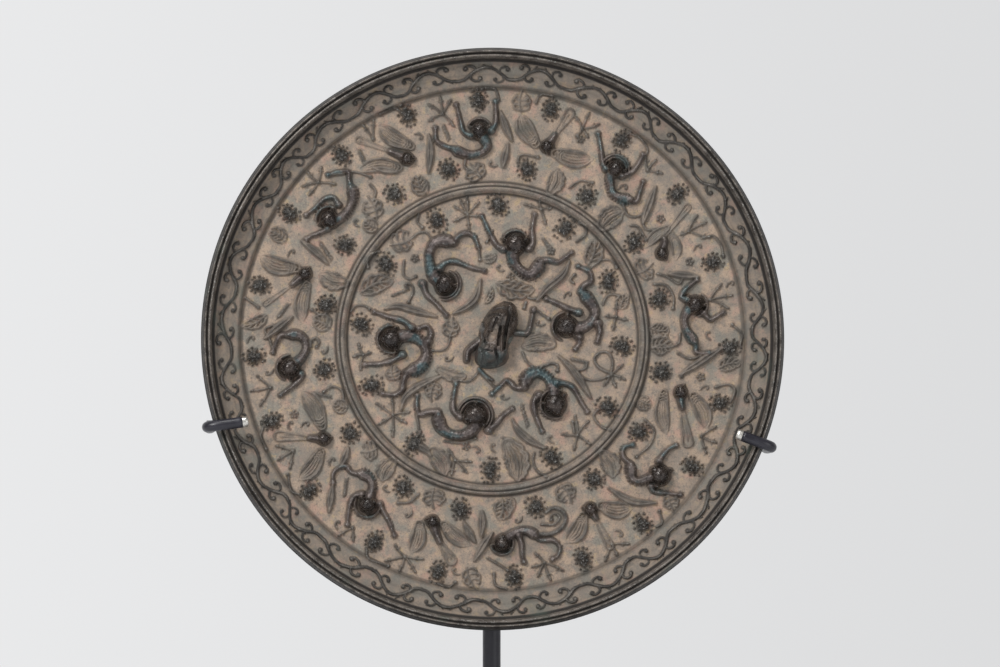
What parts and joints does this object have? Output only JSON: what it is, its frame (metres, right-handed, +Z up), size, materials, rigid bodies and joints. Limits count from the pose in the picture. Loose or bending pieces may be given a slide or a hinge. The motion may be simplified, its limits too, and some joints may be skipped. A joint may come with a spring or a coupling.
{
  "type": "bronze mirror on a display stand",
  "caption": "Round cast bronze mirror, its decorated back in high relief with a pierced crouching-beast knob, held upright by a wire cradle on a post and foot plate.",
  "frame": {"origin": "centre of the underside of the foot plate", "axes": "+Z up, -Y the way the decorated back of the mirror faces, +X to the right seen from there"},
  "size_m": [0.203, 0.104, 0.2731],
  "materials": {
    "bronze": "patinated cast bronze, earthy on the ground, dark and worn on the high relief",
    "black_paint": "satin black paint",
    "felt": "black felt"
  },
  "bodies": {
    "root": {"mirror": "bronze", "cradle": "black_paint", "post": "black_paint", "pad": "felt", "foot": "black_paint"}
  },
  "joints": []
}
